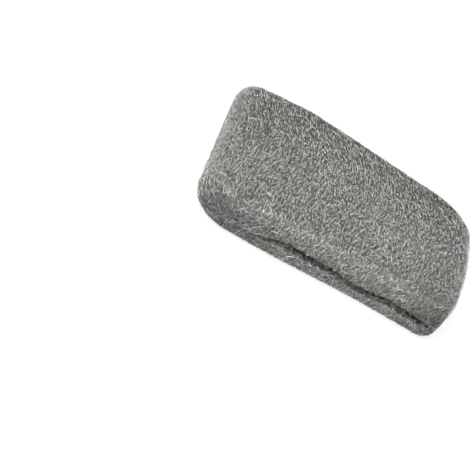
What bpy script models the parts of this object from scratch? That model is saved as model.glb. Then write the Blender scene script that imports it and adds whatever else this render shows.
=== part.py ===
"""Steel wool pad: one wad of fine steel fibre, folded over on itself and pressed flat.

Metres, +Z up. The pad lies flat as it would on a bench. Its length runs along X, its width along Y,
and its front long side, where the two leaves of the fold meet in a slit, faces -Y. The origin is on
the resting face, under the middle of the pad.
"""

import math

import bpy
import numpy as np

LENGTH = 0.105
WIDTH = 0.0831
THICKNESS = 0.0183

# The corners of the plan. The wad was pulled out of square, so each has a radius of its own.
FRONT_LEFT_RADIUS = 0.0167
FRONT_RIGHT_RADIUS = 0.0072
BACK_RIGHT_RADIUS = 0.0195
BACK_LEFT_RADIUS = 0.0095

# The long sides spread apart toward the left end, and the right end bulges. The back side has a low
# hump, which fades toward the middle of the pad by this power of the distance from it.
SPREAD = 0.0025
SPREAD_REACH = 0.0225
RIGHT_BULGE = 0.0036
BACK_HUMP = 0.0013
BACK_HUMP_PLACE = -0.024
BACK_HUMP_REACH = 0.010
BACK_HUMP_POWER = 4

# How far in from the outline the faces round over, and how full the sides are: 2 is an ellipse.
EDGE_ROUND = 0.0063
SIDE_FULLNESS = 3.1

# The upper face dips in slow waves, swells in the middle and was pressed lower at the left end. The
# crests of the waves stand at a slant, and the waves across the pad are a little longer.
CROWN = 0.0006
DIP = 0.0004
DIP_LENGTH = 0.062
DIP_SLANT = 0.35
DIP_LENGTH_ACROSS = 0.0775
DIP_SHIFT_ACROSS = 0.0074
LEFT_PRESS = 0.0032
LEFT_PRESS_START = -0.018
LEFT_PRESS_SOFTNESS = 0.18

# The slit between the two leaves. It falls by SLIT_FALL over the pad's length, in slow waves, and by
# SLIT_LEFT_DROP more toward the left end, where it fades out. It ends short at the right. It is shut where
# the side faces SHUT_TURN_DEG or more away from the front, and quite open from OPEN_TURN_DEG. Its two
# banks still stand CLOSED_TIP apart where it is shut.
SLIT_HEIGHT = 0.00765
SLIT_FALL = 0.0019
SLIT_WAVE = 0.0007
SLIT_WAVE_LENGTH = 0.045
SLIT_WAVE_PLACE = -0.006
SLIT_LEFT_DROP = 0.0028
SLIT_DROP_START = -0.016
SLIT_DROP_REACH = 0.028
SLIT_MOUTH = 0.0021
SLIT_TIP = 0.0005
CLOSED_TIP = 0.0002
SLIT_DEPTH = 0.0125
SLIT_LEFT_END = 0.019
SLIT_LEFT_FADE = 0.022
SLIT_RIGHT_END = 0.0025
SLIT_RIGHT_FADE = 0.009
SHUT_TURN_DEG = 63.0
OPEN_TURN_DEG = 18.0
LIP_RADIUS = 0.0015

# The cage: columns along each side and round each corner, rows down the side and rings on the upper face.
LONG_SIDE_STEPS = 14
SHORT_SIDE_STEPS = 6
CORNER_STEPS = 5
UPPER_STEPS = 5
LIP_STEPS = 3
LOWER_STEPS = 4
FACE_RINGS = 2
BASE_BORDER = 0.002
SMOOTHING_LEVELS = 1

WOOL_COLOUR = (0.25, 0.255, 0.235, 1.0)
WOOL_ROUGHNESS = 0.45
WOOL_METALLIC = 0.85


def clear_scene():
    """Empties the scene, so that the script can be run again."""
    for thing in list(bpy.data.objects):
        bpy.data.objects.remove(thing, do_unlink=True)


def smooth_step(value):
    """0 below 0, 1 above 1, and an S-shaped rise between them."""
    t = np.clip(value, 0.0, 1.0)
    return t * t * (3.0 - 2.0 * t)


def square_plan():
    """Points of the plan before the wad was pulled, anticlockwise, with their outward normals."""
    corners = (
        (1, 1, BACK_RIGHT_RADIUS, 0.0),
        (-1, 1, BACK_LEFT_RADIUS, 0.5 * math.pi),
        (-1, -1, FRONT_LEFT_RADIUS, math.pi),
        (1, -1, FRONT_RIGHT_RADIUS, 1.5 * math.pi),
    )
    arcs = []
    for along, across, radius, start in corners:
        angles = start + np.linspace(0.0, 0.5 * math.pi, CORNER_STEPS)
        outward = np.column_stack([np.cos(angles), np.sin(angles)])
        middle = (along * (0.5 * LENGTH - radius), across * (0.5 * WIDTH - radius))
        arcs.append((middle + radius * outward, outward))
    points = []
    normals = []
    for index, (arc, outward) in enumerate(arcs):
        steps = SHORT_SIDE_STEPS if index % 2 else LONG_SIDE_STEPS
        next_start = arcs[(index + 1) % len(arcs)][0][0]
        shares = np.arange(1, steps)[:, None] / steps
        side = arc[-1] + shares * (next_start - arc[-1])
        points += [arc, side]
        normals += [outward, np.repeat(outward[-1:], len(side), axis=0)]
    return np.concatenate(points), np.concatenate(normals)


def pulled(plan):
    """The plan after pulling: sides spread at the left, a hump on the back side, the right end bulged."""
    x, y = plan[:, 0], plan[:, 1]
    along = x / (0.5 * LENGTH)
    across = y / (0.5 * WIDTH)
    hump = np.exp(-(((x - BACK_HUMP_PLACE) / BACK_HUMP_REACH) ** 2))
    out = -across * SPREAD * np.tanh(x / SPREAD_REACH)
    out += BACK_HUMP * hump * np.clip(across, 0.0, 1.0) ** BACK_HUMP_POWER
    end = RIGHT_BULGE * np.clip(along, 0.0, 1.0) ** 2 * (1.0 - across**2)
    return np.column_stack([x + end, y + out])


def pressed(x):
    """The share of THICKNESS that is left at x, less toward the pressed left end."""
    reach = 0.5 * LENGTH + LEFT_PRESS_START
    past = (LEFT_PRESS_START - x) / (reach * LEFT_PRESS_SOFTNESS)
    return 1.0 - LEFT_PRESS / THICKNESS * LEFT_PRESS_SOFTNESS * np.logaddexp(0.0, past)


def slit_opening(plan, normals):
    """How far open the slit is at each point of the outline: 1 along the front side, 0 elsewhere."""
    x = plan[:, 0]
    turn = np.degrees(np.arccos(-normals[:, 1].clip(-1.0, 1.0)))
    facing_front = smooth_step((SHUT_TURN_DEG - turn) / (SHUT_TURN_DEG - OPEN_TURN_DEG))
    from_left = smooth_step((x + 0.5 * LENGTH - SLIT_LEFT_END) / SLIT_LEFT_FADE)
    from_right = smooth_step((0.5 * LENGTH - SLIT_RIGHT_END - x) / SLIT_RIGHT_FADE)
    return facing_front * np.minimum(from_left, from_right)


def slit_middle(x):
    """The height of the slit's middle at x."""
    wave = SLIT_WAVE * np.cos(2.0 * math.pi * (x - SLIT_WAVE_PLACE) / SLIT_WAVE_LENGTH)
    left_drop = SLIT_LEFT_DROP * smooth_step((SLIT_DROP_START - x) / SLIT_DROP_REACH)
    return SLIT_HEIGHT - SLIT_FALL * x / LENGTH + wave - left_drop


def closed_inset(height):
    """How far in the side stands at a height, by a superellipse from face to face."""
    up = np.abs(2.0 * height / THICKNESS - 1.0).clip(0.0, 1.0)
    out = (1.0 - up**SIDE_FULLNESS) ** (1.0 / SIDE_FULLNESS)
    return EDGE_ROUND * (1.0 - out)


def closing_in(steps):
    """Shares from 1 to 0, closer and closer together toward 0."""
    return np.linspace(1.0, 0.0, steps + 1) ** 2


def side_rows(x, opening):
    """Inset and height of each row at x: over the upper leaf, into the slit and out, under the lower leaf."""
    middle = slit_middle(x)
    half_mouth = 0.5 * (SLIT_TIP + opening * (SLIT_MOUTH - SLIT_TIP))
    half_tip = 0.5 * (CLOSED_TIP + opening * (SLIT_TIP - CLOSED_TIP))
    lip = closing_in(LIP_STEPS)
    curl = LIP_RADIUS * (1.0 - np.sqrt(1.0 - (1.0 - lip) ** 2))
    upper_lip = middle + half_mouth + LIP_RADIUS * lip
    lower_lip = middle - half_mouth - LIP_RADIUS * lip[::-1]
    upper = THICKNESS + (upper_lip[0] - THICKNESS) * closing_in(UPPER_STEPS)[:0:-1]
    lower = lower_lip[-1] * closing_in(LOWER_STEPS)[1:]
    tip = middle + half_tip * np.array([1.0, -1.0])
    height = np.concatenate([upper, upper_lip, tip, lower_lip, lower])
    straight_above, straight_below = np.zeros_like(upper), np.zeros_like(lower)
    into_slit = np.full_like(tip, SLIT_DEPTH)
    extra = np.concatenate([straight_above, curl, into_slit, curl[::-1], straight_below])
    return closed_inset(height) + opening * extra, height


def face_drop(x, y):
    """How far the upper face stands below THICKNESS, before it is pressed."""
    away = (x / (0.5 * LENGTH)) ** 2 + (y / (0.5 * WIDTH)) ** 2
    along = np.sin(2.0 * math.pi * (x + DIP_SLANT * y) / DIP_LENGTH)
    across = np.cos(2.0 * math.pi * (y + DIP_SHIFT_ACROSS) / DIP_LENGTH_ACROSS)
    return CROWN * np.clip(away, 0.0, 1.0) + 0.5 * DIP * (1.0 + along * across)


def wad_rings():
    """Rings of points from the middle of the upper face, down the sides, to the edge of the resting face.

    They are moved in X and Y at the end, so that the pad's middle is over the origin.
    """
    plan, normals = square_plan()
    sides = [side_rows(x, share) for x, share in zip(plan[:, 0], slit_opening(plan, normals))]
    insets = np.array([inset for inset, height in sides]).T
    heights = np.array([height for inset, height in sides]).T
    outline = pulled(plan)
    rings = [
        np.column_stack([outline - normals * inset[:, None], height])
        for inset, height in zip(insets, heights)
    ]
    base = np.column_stack([outline - normals * (EDGE_ROUND + BASE_BORDER), heights[-1]])
    sizes = np.arange(1, FACE_RINGS + 1) / (FACE_RINGS + 1)
    rings = np.array([rings[0] * (size, size, 1.0) for size in sizes] + rings + [base])
    x, y, z = rings[:, :, 0], rings[:, :, 1], rings[:, :, 2]
    rings[:, :, 2] = (z - face_drop(x, y) * (z / THICKNESS) ** 2) * pressed(x)
    rings[:, :, :2] -= 0.5 * (rings.min(axis=(0, 1)) + rings.max(axis=(0, 1)))[:2]
    return rings


def make_cage(name):
    """A closed mesh through the rings, with one face inside the first ring and one inside the last."""
    rings = wad_rings()
    count = rings.shape[1]
    faces = []
    for ring in range(len(rings) - 1):
        upper, lower = ring * count, (ring + 1) * count
        for step in range(count):
            after = (step + 1) % count
            faces.append((upper + step, lower + step, lower + after, upper + after))
    faces.append(tuple(range(count)))
    last = (len(rings) - 1) * count
    faces.append(tuple(last + step for step in reversed(range(count))))
    mesh = bpy.data.meshes.new(name)
    mesh.from_pydata(rings.reshape(-1, 3).tolist(), [], faces)
    mesh.shade_smooth()
    return mesh


def steel_wool():
    """Dull grey steel fibre, seen as one surface."""
    material = bpy.data.materials.new("steel_wool")
    material.use_nodes = True
    shader = material.node_tree.nodes["Principled BSDF"]
    shader.inputs["Base Color"].default_value = WOOL_COLOUR
    shader.inputs["Roughness"].default_value = WOOL_ROUGHNESS
    shader.inputs["Metallic"].default_value = WOOL_METALLIC
    material.diffuse_color = WOOL_COLOUR
    return material


clear_scene()
parts = bpy.data.collections.new("steel_wool_pad")
bpy.context.scene.collection.children.link(parts)

pad = bpy.data.objects.new("steel_wool_pad", make_cage("steel_wool_pad"))
pad.data.materials.append(steel_wool())
parts.objects.link(pad)
soften = pad.modifiers.new("soften", "SUBSURF")
soften.levels = SMOOTHING_LEVELS
soften.render_levels = SMOOTHING_LEVELS
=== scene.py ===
"""Steel wool pad, as it lies on a table: the matted wad, the fibres that felt it over, and the studio."""

import math

import bpy
import numpy as np
from mathutils import Matrix, Vector


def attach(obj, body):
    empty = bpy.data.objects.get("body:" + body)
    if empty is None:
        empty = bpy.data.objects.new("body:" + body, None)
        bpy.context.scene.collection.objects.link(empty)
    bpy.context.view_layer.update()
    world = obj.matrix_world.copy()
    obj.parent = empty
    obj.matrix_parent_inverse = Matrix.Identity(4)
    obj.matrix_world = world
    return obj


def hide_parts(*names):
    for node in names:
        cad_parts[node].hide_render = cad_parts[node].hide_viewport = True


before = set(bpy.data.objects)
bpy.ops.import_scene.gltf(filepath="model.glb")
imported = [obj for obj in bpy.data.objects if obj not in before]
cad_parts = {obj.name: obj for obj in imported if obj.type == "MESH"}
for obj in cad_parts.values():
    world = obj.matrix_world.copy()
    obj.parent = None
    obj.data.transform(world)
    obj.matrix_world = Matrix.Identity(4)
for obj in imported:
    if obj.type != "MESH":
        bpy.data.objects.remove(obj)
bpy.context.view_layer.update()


# The wad is one ribbon of fine steel fibre, folded over on itself and pressed flat. Its two leaves are
# matted together, except along the front side, where they part in a slit. This is its matted mass, which
# the looser fibres of its skin lie on.

LENGTH = 0.105
WIDTH = 0.0831
THICKNESS = 0.0183
FRONT_LEFT_RADIUS = 0.0167
FRONT_RIGHT_RADIUS = 0.0072
BACK_RIGHT_RADIUS = 0.0195
BACK_LEFT_RADIUS = 0.0095
SPREAD = 0.0025
SPREAD_REACH = 0.0225
RIGHT_BULGE = 0.0036
BACK_HUMP = 0.0013
BACK_HUMP_PLACE = -0.024
BACK_HUMP_REACH = 0.010
BACK_HUMP_POWER = 4
PULL_POWER = 8
EDGE_ROUND = 0.0063
SIDE_FULLNESS = 3.1
CROWN = 0.0006
DIP = 0.0004
DIP_LENGTH = 0.062
DIP_SLANT = 0.35
DIP_LENGTH_ACROSS = 0.0775
DIP_SHIFT_ACROSS = 0.0074
LEFT_PRESS = 0.0032
LEFT_PRESS_START = -0.018
LEFT_PRESS_SOFTNESS = 0.18
SLIT_HEIGHT = 0.00765
SLIT_FALL = 0.0019
SLIT_WAVE = 0.0007
SLIT_WAVE_LENGTH = 0.045
SLIT_WAVE_PLACE = -0.006
SLIT_LEFT_DROP = 0.0028
SLIT_DROP_START = -0.016
SLIT_DROP_REACH = 0.028
SLIT_MOUTH = 0.0018
SLIT_TIP = 0.0005
SHUT_TIP = 0.0002
SLIT_DEPTH = 0.0125
SLIT_LEFT_END = 0.019
SLIT_LEFT_FADE = 0.022
SLIT_RIGHT_END = 0.0020
SLIT_RIGHT_FADE = 0.0075
SHUT_TURN_DEG = 63.0
OPEN_TURN_DEG = 18.0
LIP_RADIUS = 0.0015
MOUTH_WAVE = 0.0003
MOUTH_WAVE_LENGTH = 0.029
MOUTH_WAVE_PLACE = -0.003
MOUTH_WAVER_SHARE = 0.6
LINE_WAVE = 0.00035
LINE_WAVE_LENGTH = 0.0215
LINE_WAVE_PLACE = 0.0078
SLIT_WAVER = 0.0004
SLIT_WAVER_LENGTHS = (0.0023, 0.0037, 0.0061, 0.0103)
LUMP_LENGTHS = (0.003, 0.011)
LUMP_COUNT = 40
LUMP_DEPTH = 0.00006
TABLE_CLEARANCE = 0.003
WAD_INSET = 0.0003

WAD_COLUMNS = 420
FRONT_DENSITY = 2.5
FACE_ROWS = 22
SIDE_ROWS = 15
LIP_ROWS = 5
WALL_ROWS = 5
BASE_ROWS = 12
POLE_SHARE = 0.02
MAP_SIZE = 0.27
UPPER_PLACE = 0.5 * MAP_SIZE * np.array([1.0, 1.5])
LOWER_PLACE = 0.5 * MAP_SIZE * np.array([1.0, 0.5])


def smooth_step(value):
    """0 below 0, 1 above 1, and 3t^2 - 2t^3 between them."""
    t = np.clip(value, 0.0, 1.0)
    return t * t * (3.0 - 2.0 * t)


def length_of(vectors):
    """The length of each vector, kept above zero so that it can be divided by."""
    return np.maximum(np.linalg.norm(vectors, axis=-1), 1e-12)


def nearest_on_plateau(skin):
    """The nearest point of the face's flat middle, the way out from it and the distance, for flat-laid skin.

    The flat middle is the plan less EDGE_ROUND all round, a rectangle with a radius of its own at each
    corner. With a the nearest point to q in the rectangle of arc middles, the way out is (q - a)/|q - a|,
    and the distance is |q - a| less the arc's radius, or 0 inside.
    """
    half = 0.5 * np.array([LENGTH, WIDTH]) - EDGE_ROUND
    right, back = skin[..., 0] > 0.0, skin[..., 1] > 0.0
    corners = [right & back, ~right & back, ~right & ~back]
    radii = [BACK_RIGHT_RADIUS, BACK_LEFT_RADIUS, FRONT_LEFT_RADIUS]
    radius = np.select(corners, radii, FRONT_RIGHT_RADIUS) - EDGE_ROUND
    arc_middle = np.clip(skin, radius[..., None] - half, half - radius[..., None])
    away = skin - arc_middle
    reach = length_of(away)
    out = away / reach[..., None]
    beyond = np.maximum(reach - radius, 0.0)
    return skin - out * beyond[..., None], out, beyond


def side_curve(steps=600):
    """Length down the side, way out and height along it: a superellipse of power SIDE_FULLNESS."""
    turn = np.linspace(0.5 * math.pi, -0.5 * math.pi, steps)
    power = 2.0 / SIDE_FULLNESS
    out = EDGE_ROUND * np.cos(turn).clip(0.0) ** power
    height = 0.5 * THICKNESS * (1.0 + np.sign(np.sin(turn)) * np.abs(np.sin(turn)) ** power)
    run = np.concatenate([[0.0], np.cumsum(np.hypot(np.diff(out), np.diff(height)))])
    return run, out, height


SIDE_RUN, SIDE_OUT, SIDE_HEIGHT = side_curve()


def way_out_at(height):
    """How far out the closed side stands at a height."""
    return np.interp(-height, -SIDE_HEIGHT, SIDE_OUT)


def pull(edge):
    """How far the pulling moves each place in the plan: sides spread, back side humped, right end bulged."""
    half = 0.5 * np.array([LENGTH, WIDTH])
    lean = np.clip(edge / (half - EDGE_ROUND), -1.0, 1.0)
    x, y = np.moveaxis(edge + EDGE_ROUND * np.sign(lean) * np.abs(lean) ** PULL_POWER, -1, 0)
    along, across = x / half[0], y / half[1]
    hump = np.exp(-(((x - BACK_HUMP_PLACE) / BACK_HUMP_REACH) ** 2))
    side = -across * SPREAD * np.tanh(x / SPREAD_REACH)
    side += BACK_HUMP * hump * np.clip(across, 0.0, 1.0) ** BACK_HUMP_POWER
    end = RIGHT_BULGE * np.clip(along, 0.0, 1.0) ** 2 * (1.0 - across**2)
    return np.stack([end, side], axis=-1)


def slit_at(edge, out):
    """How far open the slit is beside each place, its middle's height and half its mouth's height.

    Its middle falls along the pad in slow waves and drops toward the left end. Where it is open, its middle
    and its mouth go in shorter waves too, and waver by a sum of sines, as its banks are torn and not cut.
    """
    x = edge[..., 0] + EDGE_ROUND * out[..., 0]
    turn = np.degrees(np.arccos(-out[..., 1].clip(-1.0, 1.0)))
    facing = smooth_step((SHUT_TURN_DEG - turn) / (SHUT_TURN_DEG - OPEN_TURN_DEG))
    from_left = smooth_step((x + 0.5 * LENGTH - SLIT_LEFT_END) / SLIT_LEFT_FADE)
    from_right = smooth_step((0.5 * LENGTH - SLIT_RIGHT_END - x) / SLIT_RIGHT_FADE)
    opening = facing * np.minimum(from_left, from_right)
    turns = [2.0 * math.pi * x / length for length in SLIT_WAVER_LENGTHS]
    waver = opening * SLIT_WAVER / len(turns)
    wave = SLIT_WAVE * np.cos(2.0 * math.pi * (x - SLIT_WAVE_PLACE) / SLIT_WAVE_LENGTH)
    wave = wave + opening * LINE_WAVE * np.cos(2.0 * math.pi * (x - LINE_WAVE_PLACE) / LINE_WAVE_LENGTH)
    left_drop = SLIT_LEFT_DROP * smooth_step((SLIT_DROP_START - x) / SLIT_DROP_REACH)
    middle = SLIT_HEIGHT - SLIT_FALL * x / LENGTH + wave - left_drop
    middle = middle + waver * sum(np.sin(turn + start) for start, turn in enumerate(turns))
    mouth = SLIT_MOUTH + MOUTH_WAVE * np.cos(2.0 * math.pi * (x - MOUTH_WAVE_PLACE) / MOUTH_WAVE_LENGTH)
    half_mouth = 0.5 * (SLIT_TIP + opening * (mouth - SLIT_TIP))
    gape = sum(np.cos(2.0 * turn + start) for start, turn in enumerate(turns))
    half_mouth = half_mouth + MOUTH_WAVER_SHARE * waver * gape
    return opening, middle, half_mouth


def lip_curl(share):
    """How far a lip has rolled inward: a quarter circle, from 0 at its start, share 1, to its radius."""
    return LIP_RADIUS * (1.0 - np.sqrt(1.0 - (1.0 - share) ** 2))


def place(edge, out, way_out, height):
    """Points of the pad, from a place on the plateau, a way out from it and a height.

    In the plan they are edge + out * way_out + pull(edge). Their height loses a drop of the upper face, by
    the square of its share of THICKNESS, and is then pressed lower toward the left end.
    """
    x, y = np.moveaxis(edge + out * np.asarray(way_out)[..., None] + pull(edge), -1, 0)
    away = (2.0 * x / LENGTH) ** 2 + (2.0 * y / WIDTH) ** 2
    along = np.sin(2.0 * math.pi * (x + DIP_SLANT * y) / DIP_LENGTH)
    across = np.cos(2.0 * math.pi * (y + DIP_SHIFT_ACROSS) / DIP_LENGTH_ACROSS)
    drop = CROWN * np.clip(away, 0.0, 1.0) + 0.5 * DIP * (1.0 + along * across)
    reach = (0.5 * LENGTH + LEFT_PRESS_START) * LEFT_PRESS_SOFTNESS
    past = np.logaddexp(0.0, (LEFT_PRESS_START - x) / reach)
    pressed = 1.0 - LEFT_PRESS / THICKNESS * LEFT_PRESS_SOFTNESS * past
    z = (height - drop * (height / THICKNESS) ** 2) * pressed
    return np.stack([x, y, z], axis=-1)


def plateau_edge(columns):
    """Points round the plateau's edge, anticlockwise, closer together in front, and each one's way out."""
    turn = np.linspace(0.0, 2.0 * math.pi, 6001)
    edge, out, _ = nearest_on_plateau(LENGTH * np.column_stack([np.cos(turn), np.sin(turn)]))
    density = 1.0 + (FRONT_DENSITY - 1.0) * (out[1:, 1] < -0.5)
    run = np.concatenate([[0.0], np.cumsum(density * length_of(np.diff(edge, axis=0)))])
    even = np.linspace(0.0, run[-1], columns, endpoint=False)
    edge = np.column_stack([np.interp(even, run, edge[:, axis]) for axis in (0, 1)])
    out = np.column_stack([np.interp(even, run, out[:, axis]) for axis in (0, 1)])
    return edge, out / length_of(out)[:, None]


def bank_rows(edge, out, bank):
    """Way out and height, row by row, over one leaf: down its side, round its lip and into the slit.

    bank is 1 for the upper leaf and -1 for the lower one. A row's height sets its way out on the closed
    side, and the slit's opening takes it further in: round the lip, and then straight along the wall.
    """
    opening, middle, half_mouth = slit_at(edge, out)
    start = middle + bank * (half_mouth + LIP_RADIUS)
    first_run = 0.0 if bank > 0 else SIDE_RUN[-1]
    run = first_run + np.linspace(0.0, 1.0, SIDE_ROWS + 1)[:, None] * (
        np.interp(-start, -SIDE_HEIGHT, SIDE_RUN) - first_run
    )
    side = np.interp(run, SIDE_RUN, SIDE_OUT), np.interp(run, SIDE_RUN, SIDE_HEIGHT)
    share = np.linspace(1.0, 0.0, LIP_ROWS + 1)[1:, None]
    height = middle + bank * (half_mouth + LIP_RADIUS * share)
    lip = way_out_at(height) - opening * lip_curl(share), height
    depth = np.linspace(0.0, 1.0, WALL_ROWS + 1)[1:, None]
    half_tip = 0.5 * (SHUT_TIP + opening * (SLIT_TIP - SHUT_TIP))
    height = middle + bank * (half_mouth + depth * (half_tip - half_mouth))
    wall = way_out_at(height) - opening * (LIP_RADIUS + depth * (SLIT_DEPTH - LIP_RADIUS)), height
    return [np.concatenate(parts) for parts in zip(side, lip, wall)]


def wave_set(seed, lengths, count):
    """Plane waves of random heading, length and start: their turns per metre in X and Y, and their starts."""
    rng = np.random.default_rng(seed)
    heading = rng.uniform(0.0, math.pi, count)
    turns = 2.0 * math.pi / rng.uniform(*lengths, count)
    return turns * np.array([np.cos(heading), np.sin(heading)]), rng.uniform(0.0, 2.0 * math.pi, count)


def wave_sum(skin, waves):
    """The sum of a set's sines at points of the flat-laid skin, with a spread of about 1."""
    turns, starts = waves
    return np.sin(skin @ turns + starts).sum(axis=-1) * math.sqrt(2.0 / len(starts))


LUMPS = wave_set(3, LUMP_LENGTHS, LUMP_COUNT)


def wad_grid():
    """The wad's points, rows from the middle of the upper face down to the middle of the base.

    With them come two maps of the skin laid flat, in metres: one unrolled from the upper face, one from the
    base. On both, a row lies as far from the plateau's edge as it does over the surface. The points are
    then moved along the surface's normal by LUMP_DEPTH times the lumps, but not near the table, and back by
    WAD_INSET, which leaves room for the fibres.
    """
    edge, out = plateau_edge(WAD_COLUMNS)
    upper, lower = bank_rows(edge, out, 1.0), bank_rows(edge, out, -1.0)
    way_out, height = [np.concatenate([a, b[::-1]]) for a, b in zip(upper, lower)]
    sides = place(edge, out, way_out, height)
    grow = np.linspace(POLE_SHARE, 1.0, FACE_ROWS, endpoint=False)[:, None, None]
    shrink = np.linspace(1.0, POLE_SHARE, BASE_ROWS + 1)[1:, None, None]
    zero = np.zeros(WAD_COLUMNS)
    points = np.concatenate([
        place(edge * grow, out, zero, THICKNESS + zero),
        sides,
        place(edge * shrink, out, zero, zero),
    ])
    steps = length_of(np.diff(sides, axis=0))
    down = np.concatenate([[zero], np.cumsum(steps, axis=0)])[..., None]
    from_top = np.concatenate([edge * grow, edge + out * down, edge * shrink])
    from_base = np.concatenate([edge * grow, edge + out * (down[-1] - down), edge * shrink])
    around = np.roll(points, -1, axis=1) - np.roll(points, 1, axis=1)
    normal = np.cross(np.gradient(points, axis=0), around)
    normal /= length_of(normal)[..., None]
    clear = smooth_step(points[..., 2] / TABLE_CLEARANCE)[..., None]
    points += normal * (clear * LUMP_DEPTH * wave_sum(from_top, LUMPS)[..., None] - WAD_INSET)
    return points, from_top, from_base


def new_piece(name, points, faces, corner_map, material):
    """A mesh object from arrays: points, blocks of faces as rows of point numbers, a map place per corner."""
    mesh = bpy.data.meshes.new(name)
    mesh.vertices.add(len(points))
    mesh.vertices.foreach_set("co", points.astype(np.float32).ravel())
    sizes = np.concatenate([np.full(len(block), block.shape[1]) for block in faces])
    corners = np.concatenate([block.ravel() for block in faces])
    mesh.loops.add(len(corners))
    mesh.loops.foreach_set("vertex_index", corners.astype(np.int32))
    mesh.polygons.add(len(sizes))
    starts = np.concatenate([[0], np.cumsum(sizes)[:-1]])
    mesh.polygons.foreach_set("loop_start", starts.astype(np.int32))
    mesh.update(calc_edges=True)
    mesh.shade_smooth()
    layer = mesh.uv_layers.new(name="OFBake")
    layer.uv.foreach_set("vector", corner_map.astype(np.float32).ravel())
    mesh.materials.append(material)
    piece = bpy.data.objects.new(name, mesh)
    bpy.context.scene.collection.objects.link(piece)
    return piece


def wad_mesh(points, from_top, from_base):
    """Faces of the closed grid, a fan at each pole, and each corner's place on the skin map.

    Faces above the slit's tip are drawn from the upper half of the map, those below it from the lower half.
    """
    rows, columns = points.shape[:2]
    number = np.arange(rows * columns).reshape(rows, columns)
    beside = np.roll(number, -1, axis=1)
    quads = np.stack([number[:-1], number[1:], beside[1:], beside[:-1]], axis=-1)
    seam = FACE_ROWS + SIDE_ROWS + LIP_ROWS + WALL_ROWS
    poles = np.array([points[0].mean(axis=0), points[-1].mean(axis=0)])
    top, base = rows * columns, rows * columns + 1
    fans = np.concatenate([
        np.stack([np.full(columns, top), number[0], beside[0]], axis=-1),
        np.stack([np.full(columns, base), beside[-1], number[-1]], axis=-1),
    ])
    pole_places = np.zeros((2, 2))
    upper_map = np.concatenate([from_top.reshape(-1, 2), pole_places]) + UPPER_PLACE
    lower_map = np.concatenate([from_base.reshape(-1, 2), pole_places]) + LOWER_PLACE
    corner_map = np.concatenate([
        upper_map[quads[: seam + 1]].reshape(-1, 2),
        lower_map[quads[seam + 1 :]].reshape(-1, 2),
        upper_map[fans[:columns]].reshape(-1, 2),
        lower_map[fans[columns:]].reshape(-1, 2),
    ])
    return np.concatenate([points.reshape(-1, 3), poles]), [quads.reshape(-1, 4), fans], corner_map / MAP_SIZE


def node(tree, kind, inputs=None, **settings):
    """A new shader node with its settings and its sockets' values, or the sockets that feed them."""
    made = tree.nodes.new(kind)
    for name, value in settings.items():
        setattr(made, name, value)
    for name, value in (inputs or {}).items():
        if isinstance(value, bpy.types.NodeSocket):
            tree.links.new(value, made.inputs[name])
        else:
            made.inputs[name].default_value = value
    return made


def ramp(tree, value, stops):
    """A colour ramp of grey or coloured stops, each a place and a colour."""
    made = node(tree, "ShaderNodeValToRGB", {"Fac": value})
    points = made.color_ramp.elements
    for index, (at, colour) in enumerate(stops):
        point = points[index] if index < 2 else points.new(at)
        point.position = at
        point.color = (*colour, 1.0)
    return made.outputs["Color"]


# Directions in degrees from the pad's length, streaks' lengths and widths in millimetres.
MATTED_LAYERS = ((88.0, 5.5, 0.34), (62.0, 4.5, 0.30), (112.0, 5.0, 0.30), (20.0, 3.5, 0.28))
# Its greys are dark: the steel's own streaks, and partly painted shade of the depths that shows between the
# fibres.
MATTED_STOPS = (
    (0.30, (0.014, 0.014, 0.013)),
    (0.48, (0.050, 0.051, 0.047)),
    (0.60, (0.130, 0.133, 0.123)),
    (0.74, (0.330, 0.336, 0.316)),
)
LAYER_SHIFT = (7.3, 3.1)


def matted_steel():
    """Streaks of stretched noise in several directions on the flat-laid skin, the brightest on top."""
    material = bpy.data.materials.new("matted_steel")
    material.use_nodes = True
    tree = material.node_tree
    shader = tree.nodes["Principled BSDF"]
    skin = node(tree, "ShaderNodeUVMap", uv_map="OFBake").outputs["UV"]
    streaks = None
    for index, (heading, length, width) in enumerate(MATTED_LAYERS):
        turned = node(tree, "ShaderNodeMapping", {
            "Vector": skin,
            "Rotation": (0.0, 0.0, -math.radians(heading)),
        }).outputs["Vector"]
        stretched = node(tree, "ShaderNodeVectorMath", {
            0: turned,
            1: (1000.0 * MAP_SIZE / length, 1000.0 * MAP_SIZE / width, 1.0),
        }, operation="MULTIPLY").outputs["Vector"]
        shift = (LAYER_SHIFT[0] * index, LAYER_SHIFT[1] * index, 0.0)
        shifted = node(tree, "ShaderNodeVectorMath", {0: stretched, 1: shift})
        noise = node(tree, "ShaderNodeTexNoise", {
            "Vector": shifted.outputs["Vector"],
            "Scale": 1.0,
            "Detail": 2.0,
            "Roughness": 0.6,
        }, noise_dimensions="2D").outputs["Fac"]
        if streaks is None:
            streaks = noise
        else:
            brightest = node(tree, "ShaderNodeMath", {0: streaks, 1: noise}, operation="MAXIMUM")
            streaks = brightest.outputs["Value"]
    colour = ramp(tree, streaks, MATTED_STOPS)
    tree.links.new(colour, shader.inputs["Base Color"])
    bump = node(tree, "ShaderNodeBump", {"Height": streaks, "Strength": 0.7, "Distance": 0.0006})
    tree.links.new(bump.outputs["Normal"], shader.inputs["Normal"])
    shader.inputs["Metallic"].default_value = 0.6
    shader.inputs["Roughness"].default_value = 0.5
    return material


wad_points, wad_from_top, wad_from_base = wad_grid()
plan_middle = 0.5 * (wad_points.min(axis=(0, 1)) + wad_points.max(axis=(0, 1))) * (1.0, 1.0, 0.0)
wad_points -= plan_middle
wad = new_piece("matted_wad", *wad_mesh(wad_points, wad_from_top, wad_from_base), matted_steel())
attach(wad, "root")
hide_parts("steel_wool_pad")


# The skin's fibres are shavings of steel wire. Each thread is a lock of them, a tenth to a third of a
# millimetre wide. They run mostly across the pad, cross each other at all angles and dive back into it.

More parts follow.
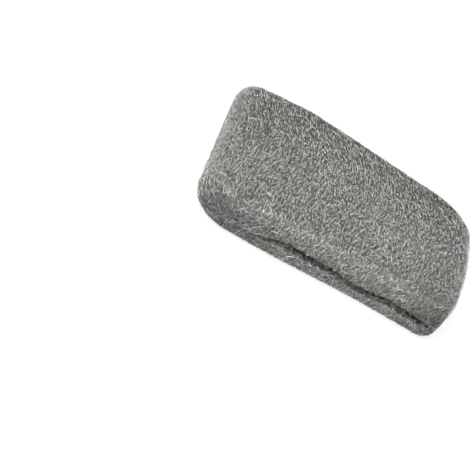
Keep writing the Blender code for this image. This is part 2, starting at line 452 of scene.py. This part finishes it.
SHORT_PLACES = (-1.0, 0.0, 1.0)
LONG_PLACES = (-1.0, -0.35, 0.35, 1.0)
STRAY_PLACES = (-1.0, -0.72, -0.44, -0.15, 0.15, 0.44, 0.72, 1.0)
FELT_HEADING_DEG = 84.0
BACK_LEAN_DEG = 24.0
BACK_LEAN_START = -0.002
BACK_LEAN_REACH = 0.030
SWIRL_DEG = 4.0
SWIRLS = wave_set(11, (0.018, 0.045), 12)
SCATTER_DEG = 11.0
SIDE_SCATTER_DEG = 26.0
MATTED_START = 0.002
MATTED_REACH = 0.008
ASTRAY_SHARE = 0.10
LIGHT_LENGTH = 1.05
DARK_LENGTH = 0.85
BEND_SPREAD = 0.07
CURL_SPREAD = 0.05
TILT_SPREAD = 0.00006
END_DIVE = (0.0002, 0.0005)
TAPER = 0.3

LIGHT_PART = 0.74
DARK_PART = -1.28
TONE_POWER = 1.6
TONE_CELL = (0.0012, 0.0028)
CELL_STRIDE = (1000.0, 1.0)
TONE_PATCHES = wave_set(23, (0.006, 0.030), 24)
PATCH_TONE = 0.007
# Both ends are lighter: their fibres are looser, and there is painted rim light.
LOOSE_AND_LIT_START = 0.038
LOOSE_AND_LIT_REACH = 0.014
LOOSE_AND_LIT_TONE = 0.04
# The back is painted darker, as shade.
BACK_PAINTED_SHADE = 0.14
BACK_SHADE_START = 0.012
BACK_SHADE_REACH = 0.025

# Each patch has a place in X and Y, a reach and how much lighter it makes the skin, darker where it is
# below 0. Most are painted light and shade: painted shadow on the pressed front left corner and low on the
# front side beside it, a painted highlight on the back left corner, painted light toward the front right
# and painted shade at the left; the rest darken the tone in front and at the back right.
LIGHT_AND_SHADE_PATCHES = (
    (-0.048, -0.044, 0.011, -0.40),
    (-0.028, -0.054, 0.013, -0.06),
    (-0.003, -0.032, 0.013, -0.08),
    (0.049, -0.045, 0.011, -0.25),
    (-0.037, 0.015, 0.013, -0.14),
    (-0.0535, 0.043, 0.009, 0.42),
    (0.023, -0.015, 0.018, 0.11),
    (0.046, 0.026, 0.010, -0.05),
)

# Places in X and how far the tones spread there, then distances down the side and how much painted light
# lightens it there.
SPREAD_ALONG = ((-0.035, 0.0, 0.025, 0.045), (1.20, 1.10, 0.82, 0.82))
SIDE_PAINTED_LIGHT = (
    (0.0020, 0.0035, 0.0054, 0.0070, 0.0082, 0.0095, 0.0110, 0.0125, 0.0160),
    (0.000, 0.050, 0.045, 0.145, 0.165, 0.140, 0.110, 0.110, 0.160),
)

# Painted shade on the front side: along the slit's lips, in the shut crease left of the slit, and painted
# shadow over the side's left part.
LIP_PAINTED_SHADE = 0.07
LIP_OFF_SLIT = 0.0017
CREASE_PAINTED_SHADE = 0.16
CREASE_WIDTH = 0.0008
CREASE_START = -0.044
CREASE_START_REACH = 0.008
CREASE_END = -0.002
CREASE_END_REACH = 0.006
FRONT_START = 0.3
FRONT_REACH = 0.6
RIM_START = 0.003
RIM_REACH = 0.002
LEFT_SIDE_PAINTED_SHADOW = 0.08
LEFT_SIDE_START = -0.014
LEFT_SIDE_REACH = 0.012

# The front left corner is pressed and its fibres messy. Its cool tint, and the cool tint low on the sides,
# are painted, the cool cast of shade.
RUBBED_AND_SHADED_PLACE = (-0.048, -0.044)
RUBBED_AND_SHADED_REACH = 0.011
COOL_LOW = 0.55
COOL_LOW_START = 0.010
COOL_LOW_REACH = 0.006
COOL_RIGHT = 0.35
COOL_RIGHT_START = 0.038
COOL_RIGHT_REACH = 0.012
COOL_PATCH = 0.25
COOL_PATCHES = wave_set(31, (0.012, 0.040), 16)
COOL_SPREAD = 0.25
COOL_FROM = 0.7

EVEN_SPREAD = 1.3247179572
CORNER_RADIUS = 0.008
CORNER_LEAN = 0.02
SURFACE_STEP = 0.00005
SIDE_LENGTH = SIDE_RUN[-1]

MAP_MIDDLE = 0.25
MAP_REACH = 0.23
MAP_COOL = 0.5
MAP_BREADTH = 0.004
TONE_FROM = 0.02
TONE_RANGE = 0.96


def on_skin(skin, bank, under):
    """Points of the pad where the flat-laid skin's points come to lie.

    bank says which leaf the fibre belongs to, 1 or -1. One that reaches the slit rolls round its own
    leaf's lip and goes on into the slit, but with bank 0 it goes straight over the slit. The skin of the
    underside is laid as the upper face's mirror.
    """
    edge, out, beyond = nearest_on_plateau(skin)
    way_out = np.interp(beyond, SIDE_RUN, SIDE_OUT)
    height = np.interp(beyond, SIDE_RUN, SIDE_HEIGHT)
    if under:
        height = THICKNESS - height
    opening, middle, half_mouth = slit_at(edge, out)
    opening = opening * np.abs(bank)
    clear = bank * (height - middle) - half_mouth
    way_out = way_out - opening * (lip_curl(np.clip(clear / LIP_RADIUS, 0.0, 1.0)) + np.maximum(-clear, 0.0))
    height = height - opening * bank * np.minimum(clear, 0.0)
    return place(edge, out, way_out, height) - plan_middle


def leaf_of(skin, under):
    """1 where the skin belongs to the upper leaf, -1 where it belongs to the lower one."""
    edge, out, beyond = nearest_on_plateau(skin)
    height = np.interp(beyond, SIDE_RUN, SIDE_HEIGHT)
    middle = slit_at(edge, out)[1]
    return np.where((THICKNESS - height if under else height) > middle, 1.0, -1.0)


def scattered(rng, spacing, nearest, farthest):
    """Places of the flat-laid skin, evenly spread from nearest to farthest beyond the plateau's edge.

    Place n is the fractional part of n / g and n / g^2, with g^3 = g + 1, and is then shaken by up to a
    spacing. On the plateau itself the distance counts as -1. The flat-laid skin is too wide round the
    corners, by (radius + distance) / (radius + way out), and that part of the places there is dropped.
    """
    half = 0.5 * np.array([LENGTH, WIDTH]) - EDGE_ROUND + farthest
    number = np.arange(int(4.0 * half[0] * half[1] / spacing**2))
    spread = (number[:, None] / EVEN_SPREAD ** np.arange(1, 3) + rng.uniform(0.0, 1.0, 2)) % 1.0
    tries = (2.0 * spread - 1.0) * half + rng.uniform(-1.0, 1.0, (len(number), 2)) * spacing
    edge, out, beyond = nearest_on_plateau(tries)
    true_width = (CORNER_RADIUS + np.interp(beyond, SIDE_RUN, SIDE_OUT)) / (CORNER_RADIUS + beyond)
    at_corner = np.abs(out).min(axis=-1) > CORNER_LEAN
    kept = rng.uniform(0.0, 1.0, len(tries)) < np.where(at_corner, true_width, 1.0)
    distance = np.where(length_of(tries - edge) < 1e-9, -1.0, beyond)
    kept &= (distance <= farthest) & (distance >= nearest)
    return tries[kept]


def heading_at(skin):
    """The felt's heading in radians: across in front, leaning to the left at the back, with swirls."""
    lean = BACK_LEAN_DEG * smooth_step((skin[..., 1] - BACK_LEAN_START) / BACK_LEAN_REACH)
    return np.radians(FELT_HEADING_DEG + lean + SWIRL_DEG * wave_sum(skin, SWIRLS))


def threads(name, seed, skin, heading, length, bend, curl, lift, radius, tone, cool, bank, under, places):
    """Closed three-sided threads, tapered to a point at both ends.

    Along a thread, w goes from -1 to 1. In the flat-laid skin it runs from its middle by length/2 * w along
    its heading and by length/2 * (bend * (w^2 - 1/3) + curl * (w^3 - 0.6 w)) to the side. It stands off the
    surface by lift[0] + lift[1] * w + lift[2] * w^2. Its radius is radius * (1 - TAPER * w^2). On its map,
    U is its tone, and V runs along it, in the lower half for a warm grey and in the upper half for a cool
    one.
    """
    w = np.array(places)
    half = 0.5 * length[:, None]
    forward = half * w
    aside = half * (bend[:, None] * (w**2 - 1.0 / 3.0) + curl[:, None] * (w**3 - 0.6 * w))
    way = np.stack([np.cos(heading), np.sin(heading)], axis=-1)[:, None]
    across = np.stack([-np.sin(heading), np.cos(heading)], axis=-1)[:, None]
    path = skin[:, None] + forward[..., None] * way + aside[..., None] * across
    foot = on_skin(path, bank, under)
    along_x = on_skin(path + (SURFACE_STEP, 0.0), bank, under) - foot
    along_y = on_skin(path + (0.0, SURFACE_STEP), bank, under) - foot
    normal = np.cross(along_x, along_y) * (-1.0 if under else 1.0)
    normal /= length_of(normal)[..., None]
    off = lift[0][:, None] + lift[1][:, None] * w + lift[2][:, None] * w**2
    clear = smooth_step(foot[..., 2] / TABLE_CLEARANCE)
    off = off + LUMP_DEPTH * clear * wave_sum(path, LUMPS)
    spine = foot + off[..., None] * normal
    thick = radius[:, None] * (1.0 - TAPER * w**2)
    spine[..., 2] = np.maximum(spine[..., 2], thick)
    tangent = np.gradient(spine, axis=1)
    tangent /= length_of(tangent)[..., None]
    side = np.cross(tangent, normal)
    side /= length_of(side)[..., None]
    up = np.cross(side, tangent)
    turn = np.random.default_rng(seed).uniform(0.0, 2.0 * math.pi, (len(skin), 1, 1))
    turn = turn + np.array([0.0, 1.0, 2.0]) * 2.0 * math.pi / 3.0
    rim = np.cos(turn)[..., None] * side[:, 1:-1, None] + np.sin(turn)[..., None] * up[:, 1:-1, None]
    rings = spine[:, 1:-1, None] + thick[:, 1:-1, None, None] * rim
    count, inner = len(skin), len(w) - 2
    points = np.concatenate([spine[:, :1], rings.reshape(count, -1, 3), spine[:, -1:]], axis=1)
    size = points.shape[1]
    ring = 1 + 3 * np.arange(inner)[:, None] + np.arange(3)
    beside = np.roll(ring, -1, axis=1)
    walls = np.stack([ring[:-1], beside[:-1], beside[1:], ring[1:]], axis=-1).reshape(-1, 4)
    start = np.stack([np.zeros(3, int), beside[0], ring[0]], axis=-1)
    end = np.stack([np.full(3, size - 1), ring[-1], beside[-1]], axis=-1)
    first = size * np.arange(count)[:, None, None]
    quads = (walls + first).reshape(-1, 4)
    fans = (np.concatenate([start, end]) + first).reshape(-1, 3)
    way_along = np.concatenate([[w[0]], np.repeat(w[1:-1], 3), [w[-1]]])
    along = MAP_MIDDLE + MAP_REACH * way_along + MAP_COOL * cool[:, None]
    width = np.concatenate([[0.0], np.tile([-1.0, 0.0, 1.0], inner), [0.0]]) * MAP_BREADTH
    shade = TONE_FROM + TONE_RANGE * tone[:, None] + width
    corner_map = np.stack([shade, along], axis=-1).reshape(-1, 2)
    corner_map = np.concatenate([corner_map[quads].reshape(-1, 2), corner_map[fans].reshape(-1, 2)])
    piece = new_piece(name, points.reshape(-1, 3), [quads, fans], corner_map, steel)
    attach(piece, "root")
    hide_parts("steel_wool_pad")
    return piece


WARM = np.array([1.0, 1.02, 0.935])
COOL = np.array([0.96, 1.0, 1.03])
# A thread's ends are painted darker, as shade where they go down into the felt.
END_PAINTED_SHADE = 0.45
END_STOPS = ((0.0, END_PAINTED_SHADE), (0.13, 1.0), (0.37, 1.0), (0.495, END_PAINTED_SHADE))
COOL_STOPS_START = 0.505

# Each stop is a tone, its grey and what its blue is multiplied by.
FIBRE_TONES = (
    (0.0, 0.025, 0.90),
    (0.25, 0.10, 0.945),
    (0.55, 0.29, 0.99),
    (0.80, 0.54, 1.02),
    (1.0, 0.92, 1.035),
)


def fibre_steel():
    """Bare steel: a thread's tone picks its grey, and its ends are painted darker, the shade where they go
    down into the felt.
    """
    material = bpy.data.materials.new("fibre_steel")
    material.use_nodes = True
    tree = material.node_tree
    shader = tree.nodes["Principled BSDF"]
    thread = node(tree, "ShaderNodeUVMap", uv_map="OFBake").outputs["UV"]
    parts = node(tree, "ShaderNodeSeparateXYZ", {"Vector": thread})
    greys = [(at, (grey, grey, blue * grey)) for at, grey, blue in FIBRE_TONES]
    grey = ramp(tree, parts.outputs["X"], greys)
    tints = [(at, tuple(shade * WARM)) for at, shade in END_STOPS]
    tints += [(COOL_STOPS_START + at, tuple(shade * COOL)) for at, shade in END_STOPS]
    tint = ramp(tree, parts.outputs["Y"], tints)
    colour = node(tree, "ShaderNodeMix", data_type="RGBA", blend_type="MULTIPLY")
    colour.inputs[0].default_value = 1.0
    tree.links.new(grey, colour.inputs[6])
    tree.links.new(tint, colour.inputs[7])
    tree.links.new(colour.outputs[2], shader.inputs["Base Color"])
    shader.inputs["Metallic"].default_value = 0.85
    shader.inputs["Roughness"].default_value = 0.45
    return material


def shares_in_cells(rng, skin):
    """A share from 0 to 1 for each place, spread evenly among the places in the same cell of the skin."""
    cell = np.floor(skin / TONE_CELL) @ CELL_STRIDE
    order = np.lexsort((rng.uniform(0.0, 1.0, len(skin)), cell))
    first, inverse, counts = np.unique(
        cell[order], return_index=True, return_inverse=True, return_counts=True
    )[1:]
    rank = np.arange(len(skin)) - first[inverse]
    share = np.empty(len(skin))
    share[order] = (rank + rng.uniform(0.0, 1.0, len(skin))) / counts[inverse]
    return share


def patch_light_and_shade(skin):
    """How much lighter the patches of painted light and shade make the skin: each its tone times
    e^-((distance / reach)^2).
    """
    return sum(
        tone * np.exp(-((length_of(skin - (x, y)) / reach) ** 2)) for x, y, reach, tone in LIGHT_AND_SHADE_PATCHES
    )


def slit_shade(skin):
    """How much painted shade darkens the front side: at the slit's lips, in the shut crease left of it and
    round it.
    """
    edge, out, beyond = nearest_on_plateau(skin)
    off_slit = np.abs(np.interp(beyond, SIDE_RUN, SIDE_HEIGHT) - slit_at(edge, out)[1])
    front = smooth_step((-out[:, 1] - FRONT_START) / FRONT_REACH)
    front = front * smooth_step((beyond - RIM_START) / RIM_REACH)
    left = smooth_step((LEFT_SIDE_START - skin[:, 0]) / LEFT_SIDE_REACH)
    dark_left = CREASE_PAINTED_SHADE * smooth_step((skin[:, 0] - CREASE_START) / CREASE_START_REACH)
    dark_left = dark_left * smooth_step((CREASE_END - skin[:, 0]) / CREASE_END_REACH)
    lip = LIP_PAINTED_SHADE * np.exp(-(((off_slit - LIP_OFF_SLIT) / CREASE_WIDTH) ** 2))
    crease = np.exp(-((off_slit / CREASE_WIDTH) ** 2))
    return front * ((1.0 - left) * lip + dark_left * crease + left * LEFT_SIDE_PAINTED_SHADOW)


def felt(name, seed, spacing, nearest, farthest, lengths, radii, lifts, tone, places, under=False):
    """Threads that lie in the skin, with their ends below it. On the sides they are matted every way.

    A thread's length goes from lengths[0] to lengths[1] by the square of an even draw. Its share, spread
    evenly from 0 to 1, makes it light above 0.5 and dark below, by e = |2 * share - 1|. Its radius goes by
    e from radii[0] to radii[1] if it is light, or to radii[2] if it is dark. Its tone is tone[0] plus
    tone[1] * e^TONE_POWER * LIGHT_PART or DARK_PART, then shifted by random patches and by painted light and
    shade: patches of it, lighter ends, partly painted rim light, painted light down the side, painted shade
    toward the back and painted shade by the slit. Threads are cool in patches, mostly low on the sides, at
    the pressed front left corner and toward the right end; low on the sides and at that corner the cool is
    painted, the cool cast of shade.
    """
    rng = np.random.default_rng(seed)
    skin = scattered(rng, spacing, nearest, farthest)
    count = len(skin)
    share = shares_in_cells(rng, skin)
    beyond = nearest_on_plateau(skin)[2]
    matted = smooth_step((beyond - MATTED_START) / MATTED_REACH)
    rubbed_and_shaded = np.exp(-((length_of(skin - RUBBED_AND_SHADED_PLACE) / RUBBED_AND_SHADED_REACH) ** 2))
    scatter = SCATTER_DEG + (SIDE_SCATTER_DEG - SCATTER_DEG) * matted
    heading = heading_at(skin) + np.radians(rng.normal(0.0, 1.0, count) * scatter)
    astray = rng.uniform(0.0, 1.0, count) < ASTRAY_SHARE
    heading = np.where(astray, rng.uniform(0.0, 2.0 * math.pi, count), heading)
    length = lengths[0] + (lengths[1] - lengths[0]) * rng.uniform(0.0, 1.0, count) ** 2
    light = share > 0.5
    length = length * np.where(light, LIGHT_LENGTH, DARK_LENGTH)
    bend, curl = rng.normal(0.0, BEND_SPREAD, count), rng.normal(0.0, CURL_SPREAD, count)
    top = rng.uniform(*lifts, count)
    lift = (top, rng.normal(0.0, TILT_SPREAD, count), -rng.uniform(*END_DIVE, count))
    extreme = np.abs(2.0 * share - 1.0)
    radius = radii[0] + (np.where(light, radii[1], radii[2]) - radii[0]) * extreme
    # Lighter toward both ends, partly painted rim light.
    loose = smooth_step((np.abs(skin[:, 0]) - LOOSE_AND_LIT_START) / LOOSE_AND_LIT_REACH)
    spread = tone[1] * np.interp(skin[:, 0], *SPREAD_ALONG)
    shade = tone[0] + spread * np.where(light, LIGHT_PART, DARK_PART) * extreme**TONE_POWER
    shade += PATCH_TONE * wave_sum(skin, TONE_PATCHES) + patch_light_and_shade(skin) + LOOSE_AND_LIT_TONE * loose
    # Painted shade toward the back.
    back = smooth_step((skin[:, 1] - BACK_SHADE_START) / BACK_SHADE_REACH)
    # Painted light down the side.
    shade += np.interp(beyond, *SIDE_PAINTED_LIGHT) - BACK_PAINTED_SHADE * back
    # Painted shade by the slit.
    shade -= slit_shade(skin)
    shade = np.clip(shade, 0.0, 1.0)
    # Low on the sides and at the front left corner the cool tint is painted, the cool cast of shade.
    low = smooth_step((beyond - COOL_LOW_START) / COOL_LOW_REACH)
    right = smooth_step((skin[:, 0] - COOL_RIGHT_START) / COOL_RIGHT_REACH)
    cool = COOL_LOW * low + rubbed_and_shaded + COOL_RIGHT * right + COOL_PATCH * wave_sum(skin, COOL_PATCHES)
    cool = cool + rng.normal(0.0, COOL_SPREAD, count) > COOL_FROM
    bank = leaf_of(skin, under)[:, None]
    return threads(
        name, seed, skin, heading, length, bend, curl, lift, radius, shade, cool, bank, under, places
    )


steel = fibre_steel()
# The underfelts' tones lie below those of the fibres over them, partly painted shade of the felt's depths.
felt(
    "face_underfelt", 101, 0.00058, -1.0, 0.003, lengths=(0.0014, 0.0044), radii=(0.00007, 0.00013, 0.00013),
    lifts=(-0.00030, -0.00008), tone=(0.40, 0.58), places=SHORT_PLACES,
)
felt(
    "face_fibres", 102, 0.00067, -1.0, 0.003, lengths=(0.0013, 0.0055), radii=(0.00006, 0.00010, 0.00012),
    lifts=(-0.00012, 0.00014), tone=(0.522, 0.97), places=LONG_PLACES,
)
felt(
    "side_underfelt", 103, 0.00060, 0.003, SIDE_LENGTH, lengths=(0.0014, 0.0040),
    radii=(0.00007, 0.00012, 0.00012), lifts=(-0.00030, -0.00008), tone=(0.40, 0.48), places=SHORT_PLACES,
)
felt(
    "side_fibres", 104, 0.00071, 0.003, SIDE_LENGTH, lengths=(0.0012, 0.0050),
    radii=(0.00005, 0.00010, 0.00010), lifts=(-0.00012, 0.00012), tone=(0.55, 0.56), places=LONG_PLACES,
)
felt(
    "base_fibres", 105, 0.00080, -1.0, 0.001, lengths=(0.0020, 0.0060), radii=(0.00010, 0.00018, 0.00018),
    lifts=(-0.00010, 0.00010), tone=(0.48, 0.64), places=SHORT_PLACES, under=True,
)


# Hairs are single fibres of the same steel, thin and partly curled, that have sprung loose from the felt.
# They stand in the slit, round the rim, on the frayed left half of the front side and on top of the face.

HAIR_TILT = 0.0002
HAIR_DIVE = (0.0003, 0.0010)
COOL_SHARE = 0.5
SLIT_HAIRS = 340
SLIT_HAIR_ENDS = (-0.030, 0.049)
SLIT_HAIR_SPREAD = 0.0007
SLIT_HAIR_SCATTER_DEG = 45.0
RIM_SPACING = 0.0017
RIM_BAND = (0.001, 0.012)
LONG_SIDE_SHARE = 0.08
RIM_SCATTER_DEG = 32.0
FRAYED_HAIRS = 190
FRAYED_ENDS = (-0.052, -0.022)
FRAYED_DOWN = (0.006, 0.017)
FRAYED_SCATTER_DEG = 60.0
FACE_SPACING = 0.0050
FACE_BAND = (-1.0, 0.006)
FACE_SCATTER_DEG = 36.0


def hairs(name, seed, skin, heading, lengths, radii, lifts, tone, bends):
    """Thin loose threads that go straight over the slit. Each stands off the skin by its own lift."""
    rng = np.random.default_rng(seed)
    count = len(skin)
    length = rng.uniform(*lengths, count)
    bend, curl = rng.normal(0.0, bends, count), rng.normal(0.0, bends, count)
    lift = (rng.uniform(*lifts, count), rng.normal(0.0, HAIR_TILT, count), -rng.uniform(*HAIR_DIVE, count))
    radius = rng.uniform(*radii, count)
    shade = rng.uniform(*tone, count)
    cool = rng.uniform(0.0, 1.0, count) < COOL_SHARE
    return threads(
        name, seed, skin, heading, length, bend, curl, lift, radius, shade, cool, np.zeros((count, 1)), False,
        STRAY_PLACES,
    )


def slit_hairs():
    """Hairs across the slit and along it, with their middles near its mouth."""
    rng = np.random.default_rng(201)
    x = rng.uniform(*SLIT_HAIR_ENDS, SLIT_HAIRS)
    edge = np.column_stack([x, np.full(len(x), EDGE_ROUND - 0.5 * WIDTH)])
    middle = slit_at(edge, np.broadcast_to((0.0, -1.0), edge.shape))[1]
    middle = middle + rng.normal(0.0, SLIT_HAIR_SPREAD, len(x))
    down = np.interp(-middle, -SIDE_HEIGHT, SIDE_RUN)
    skin = np.column_stack([x, edge[:, 1] - down])
    heading = np.radians(90.0 + rng.normal(0.0, SLIT_HAIR_SCATTER_DEG, len(x)))
    hairs(
        "slit_hairs", 202, skin, heading, lengths=(0.0015, 0.0045), radii=(0.00005, 0.00009),
        lifts=(-0.0010, 0.0), tone=(0.15, 0.70), bends=0.25,
    )


def rim_hairs():
    """Hairs all round the rim, which stand a little off it, more of them at the two ends."""
    rng = np.random.default_rng(211)
    skin = scattered(rng, RIM_SPACING, *RIM_BAND)
    out = nearest_on_plateau(skin)[1]
    share = LONG_SIDE_SHARE + (1.0 - LONG_SIDE_SHARE) * np.abs(out[:, 0])
    kept = rng.uniform(0.0, 1.0, len(skin)) < share
    skin, out = skin[kept], out[kept]
    heading = np.arctan2(out[:, 0], -out[:, 1])
    heading = heading + np.radians(rng.normal(0.0, RIM_SCATTER_DEG, len(skin)))
    hairs(
        "rim_hairs", 212, skin, heading, lengths=(0.003, 0.009), radii=(0.00004, 0.00007),
        lifts=(0.0001, 0.0007), tone=(0.5, 0.95), bends=0.2,
    )


def frayed_hairs():
    """Curled hairs that stand off the front side's left half, where the wool is frayed."""
    rng = np.random.default_rng(231)
    x = rng.uniform(*FRAYED_ENDS, FRAYED_HAIRS)
    skin = np.column_stack([x, EDGE_ROUND - 0.5 * WIDTH - rng.uniform(*FRAYED_DOWN, len(x))])
    heading = np.radians(90.0 + rng.normal(0.0, FRAYED_SCATTER_DEG, len(x)))
    hairs(
        "frayed_hairs", 232, skin, heading, lengths=(0.002, 0.007), radii=(0.00004, 0.00007),
        lifts=(0.0, 0.0007), tone=(0.35, 0.9), bends=0.5,
    )


def face_hairs():
    """Bright curled hairs on top of the face, a few millimetres long."""
    rng = np.random.default_rng(221)
    skin = scattered(rng, FACE_SPACING, *FACE_BAND)
    heading = heading_at(skin) + np.radians(rng.normal(0.0, FACE_SCATTER_DEG, len(skin)))
    hairs(
        "face_hairs", 222, skin, heading, lengths=(0.0025, 0.0065), radii=(0.00006, 0.00009),
        lifts=(0.00005, 0.00024), tone=(0.85, 1.0), bends=0.25,
    )


slit_hairs()
rim_hairs()
frayed_hairs()
face_hairs()


# The studio: a pale floor that the pad lies on, an even white surround, one soft lamp above and to the
# left, and the camera at the photograph's angle to the pad, leaning as it does there.

FLOOR_SIZE = 6.0
FLOOR_GREY = 0.80
FLOOR_GLOW_SHARE = 0.82
SURROUND = (0.96, 0.98, 1.0)
SURROUND_STRENGTH = 1.0
KEY_WAY = (-0.42, -0.38, 0.82)
KEY_DISTANCE = 0.9
KEY_SIZE = 0.9
KEY_POWER = 18.0
KEY_COLOUR = (1.0, 0.99, 0.96)
CAMERA_TARGET = (-0.03493, -0.05497, 0.009)
CAMERA_DISTANCE = 0.7634
CAMERA_AZIMUTH_DEG = 7.41
CAMERA_ELEVATION_DEG = 32.05
CAMERA_ROLL_DEG = 34.64
CAMERA_LENS = 162.0
SENSOR_WIDTH = 36.0


def seen_directly(tree):
    """1 for rays from the camera, from a shine or through glass, and 0 for rays that gather light."""
    path = node(tree, "ShaderNodeLightPath")
    first = node(tree, "ShaderNodeMath", {
        0: path.outputs["Is Camera Ray"],
        1: path.outputs["Is Glossy Ray"],
    }, operation="MAXIMUM")
    both = node(tree, "ShaderNodeMath", {
        0: first.outputs["Value"],
        1: path.outputs["Is Transmission Ray"],
    }, operation="MAXIMUM")
    return both.outputs["Value"]


def make_floor():
    """A large square at the table's height, pale for the light and nearly white for the eye."""
    half = 0.5 * FLOOR_SIZE
    mesh = bpy.data.meshes.new("floor")
    corners = [(-half, -half, 0.0), (half, -half, 0.0), (half, half, 0.0), (-half, half, 0.0)]
    mesh.from_pydata(corners, [], [(0, 1, 2, 3)])
    floor = bpy.data.objects.new("floor", mesh)
    bpy.context.scene.collection.objects.link(floor)
    material = bpy.data.materials.new("pale_floor")
    material.use_nodes = True
    tree = material.node_tree
    shader = tree.nodes["Principled BSDF"]
    shader.inputs["Base Color"].default_value = (FLOOR_GREY, FLOOR_GREY, FLOOR_GREY, 1.0)
    shader.inputs["Roughness"].default_value = 0.9
    shader.inputs["Specular IOR Level"].default_value = 0.0
    glow = node(tree, "ShaderNodeEmission", {"Color": (1.0, 1.0, 1.0, 1.0), "Strength": 1.0})
    share = node(tree, "ShaderNodeMath", {0: seen_directly(tree), 1: FLOOR_GLOW_SHARE}, operation="MULTIPLY")
    both = node(tree, "ShaderNodeMixShader", {
        0: share.outputs["Value"],
        1: shader.outputs["BSDF"],
        2: glow.outputs["Emission"],
    })
    tree.links.new(both.outputs["Shader"], tree.nodes["Material Output"].inputs["Surface"])
    mesh.materials.append(material)
    return floor


def make_surround():
    """A white world: plain white to look at, and an even, faintly cool light."""
    world = bpy.data.worlds.new("surround")
    bpy.context.scene.world = world
    world.use_nodes = True
    tree = world.node_tree
    tree.nodes.clear()
    light = node(tree, "ShaderNodeBackground", {"Color": (*SURROUND, 1.0), "Strength": SURROUND_STRENGTH})
    white = node(tree, "ShaderNodeBackground", {"Color": (1.0, 1.0, 1.0, 1.0), "Strength": 1.0})
    both = node(tree, "ShaderNodeMixShader", {
        0: seen_directly(tree),
        1: light.outputs["Background"],
        2: white.outputs["Background"],
    })
    end = node(tree, "ShaderNodeOutputWorld")
    tree.links.new(both.outputs["Shader"], end.inputs["Surface"])


def make_lamp(name, way, distance, size, power, colour):
    """A soft square lamp that faces the pad from a distance along a way."""
    data = bpy.data.lights.new(name, "AREA")
    data.size = size
    data.energy = power
    data.color = colour
    lamp = bpy.data.objects.new(name, data)
    way = Vector(way).normalized()
    lamp.location = distance * way
    lamp.rotation_mode = "QUATERNION"
    lamp.rotation_quaternion = way.to_track_quat("Z", "Y")
    bpy.context.scene.collection.objects.link(lamp)


def make_camera():
    """The camera looks at its target from its azimuth and elevation, and leans by its roll."""
    azimuth, elevation = math.radians(CAMERA_AZIMUTH_DEG), math.radians(CAMERA_ELEVATION_DEG)
    forward = Vector((
        math.sin(azimuth) * math.cos(elevation),
        math.cos(azimuth) * math.cos(elevation),
        -math.sin(elevation),
    ))
    level = forward.cross(Vector((0.0, 0.0, 1.0))).normalized()
    roll = Matrix.Rotation(-math.radians(CAMERA_ROLL_DEG), 3, forward)
    right = roll @ level
    up = right.cross(forward)
    data = bpy.data.cameras.new("camera")
    data.lens = CAMERA_LENS
    data.sensor_width = SENSOR_WIDTH
    data.clip_start = 0.01
    data.clip_end = 20.0
    camera = bpy.data.objects.new("camera", data)
    turned = Matrix((right, up, -forward)).transposed().to_4x4()
    turned.translation = Vector(CAMERA_TARGET) - CAMERA_DISTANCE * forward
    camera.matrix_world = turned
    bpy.context.scene.collection.objects.link(camera)
    bpy.context.scene.camera = camera


make_floor()
make_surround()
make_lamp("key", KEY_WAY, KEY_DISTANCE, KEY_SIZE, KEY_POWER, KEY_COLOUR)
make_camera()
bpy.context.scene.view_settings.view_transform = "Standard"
